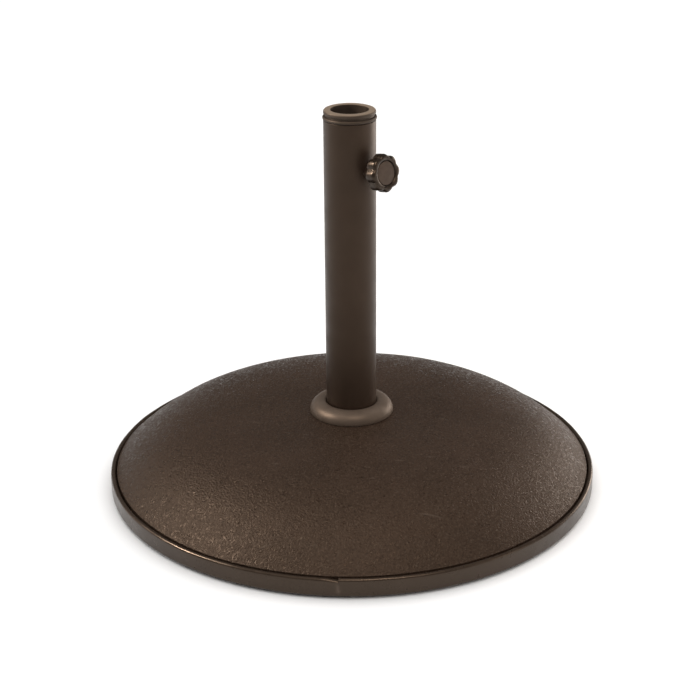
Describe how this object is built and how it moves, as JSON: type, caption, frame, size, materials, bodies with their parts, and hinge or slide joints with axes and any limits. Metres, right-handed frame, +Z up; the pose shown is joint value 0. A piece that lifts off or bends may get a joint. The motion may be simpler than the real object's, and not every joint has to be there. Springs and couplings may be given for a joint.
{
  "type": "parasol base",
  "caption": "Weighted garden parasol base: low domed disc with a steel rim band, upright tube, trim collar, pole reducer and a clamp knob.",
  "frame": {"origin": "on the ground in the middle of the disc", "axes": "+Z up along the tube, -Y the front, +X to the right seen from the front"},
  "size_m": [0.528, 0.528, 0.413],
  "materials": {
    "coated_concrete": "fine-grained brown textured coating",
    "powder_coat": "smooth semi-matt brown powder coat",
    "band_coat": "satin brown paint",
    "trim_plastic": "satin",
    "reducer_plastic": "satin",
    "knob_plastic": "moulded, semi-gloss",
    "zinc_steel": "zinc plated",
    "foot_rubber": "matt",
    "nylon": "natural nylon"
  },
  "bodies": {
    "base": {"ballast_dome": "coated_concrete", "rim_band": "band_coat", "pole_tube": "powder_coat", "tube_foot_plug": "zinc_steel", "guide_bush": "nylon", "fixing_bolt": "zinc_steel", "fixing_washer": "zinc_steel", "spring_washer": "zinc_steel", "clamp_nut": "powder_coat", "rubber_foot_1": "foot_rubber", "foot_screw_1": "zinc_steel", "foot_anchor_1": "nylon", "rubber_foot_2": "foot_rubber", "foot_screw_2": "zinc_steel", "foot_anchor_2": "nylon", "rubber_foot_3": "foot_rubber", "foot_screw_3": "zinc_steel", "foot_anchor_3": "nylon", "rubber_foot_4": "foot_rubber", "foot_screw_4": "zinc_steel", "foot_anchor_4": "nylon"},
    "pressure_pad": {"clamp_pad": "nylon"},
    "knob": {"clamp_screw": "zinc_steel", "knob_grip": "knob_plastic", "knob_face_cap": "knob_plastic"},
    "reducer": {"reducer_cap": "reducer_plastic"},
    "collar": {"collar_ring": "trim_plastic"}
  },
  "joints": [
    {"name": "screw_travel", "type": "slide", "parent": "base", "child": "pressure_pad", "axis": [0.6964, -0.6964, 0.1736], "range_m": [-0.00375, 0.00187]},
    {"name": "knob_turn", "type": "hinge", "parent": "pressure_pad", "child": "knob", "pos_m": [0, 0, 0.3472], "axis": [0.6964, -0.6964, 0.1736], "range_deg": [-1080, 540]},
    {"name": "reducer_lift", "type": "slide", "parent": "base", "child": "reducer", "axis": [0, 0, 1], "range_m": [0, 0.06]},
    {"name": "collar_lift", "type": "slide", "parent": "base", "child": "collar", "axis": [0, 0, 1], "range_m": [0, 0.23]}
  ],
  "couplings": [
    {"joint": "knob_turn", "follows": "screw_travel", "rad_per_m": 5026.5}
  ]
}
